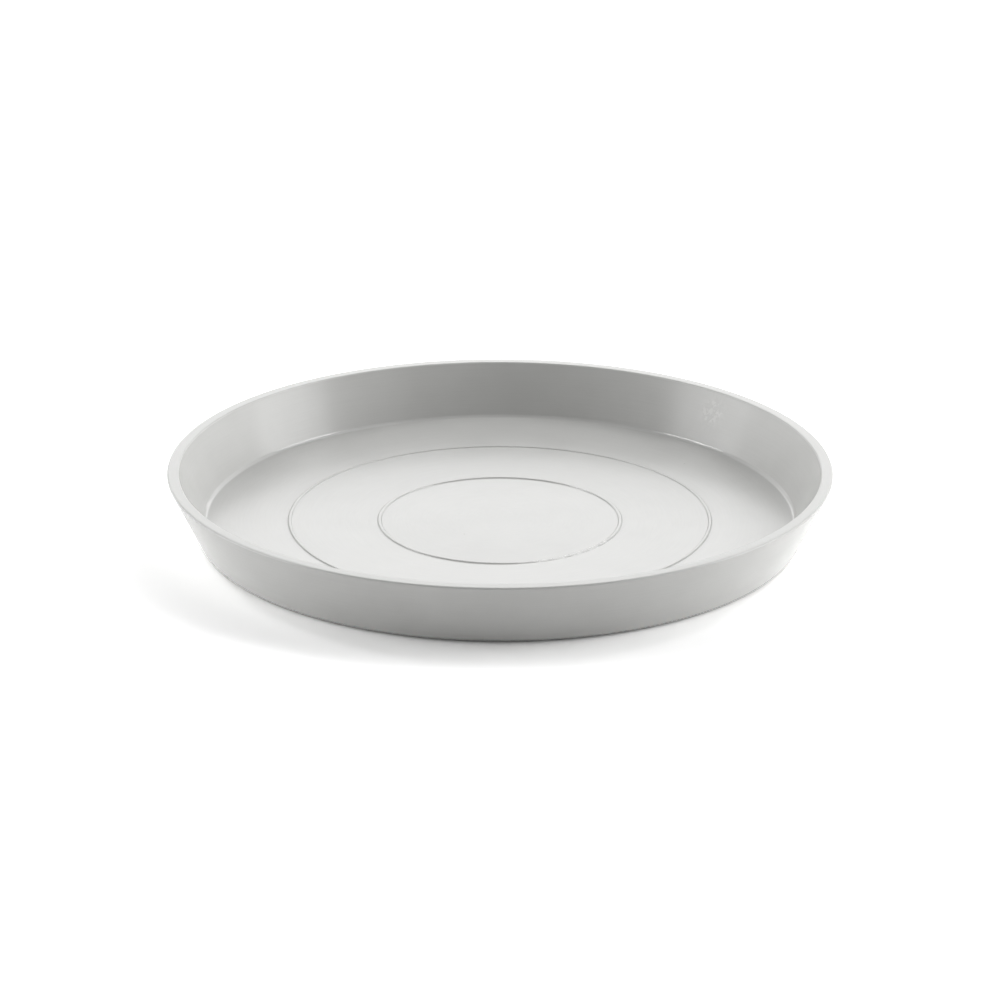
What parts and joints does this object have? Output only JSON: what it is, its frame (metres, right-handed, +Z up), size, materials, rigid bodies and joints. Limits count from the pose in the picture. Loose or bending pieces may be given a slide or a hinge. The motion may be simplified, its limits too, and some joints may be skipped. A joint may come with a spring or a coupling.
{
  "type": "plant saucer",
  "caption": "Shallow round plant saucer with a flat rim, a sloping wall, a dished floor with concentric ribs for the pot, and soft pads stuck in recesses underneath.",
  "frame": {"origin": "on the ground, under the middle of the saucer", "axes": "+Z up, along the saucer's axis of revolution; +X through the first pad; -Y towards the viewer of the picture"},
  "size_m": [0.4, 0.4, 0.041],
  "materials": {
    "tray_plastic": "satin moulded, fine hairlines",
    "pad_rubber": "matte",
    "adhesive": "satin film"
  },
  "bodies": {
    "root": {"saucer_tray": "tray_plastic", "foot_pad_1": "pad_rubber", "foot_pad_2": "pad_rubber", "foot_pad_3": "pad_rubber", "foot_pad_4": "pad_rubber", "foot_pad_5": "pad_rubber", "foot_pad_6": "pad_rubber", "pad_adhesive_1": "adhesive", "pad_adhesive_2": "adhesive", "pad_adhesive_3": "adhesive", "pad_adhesive_4": "adhesive", "pad_adhesive_5": "adhesive", "pad_adhesive_6": "adhesive"}
  },
  "joints": []
}
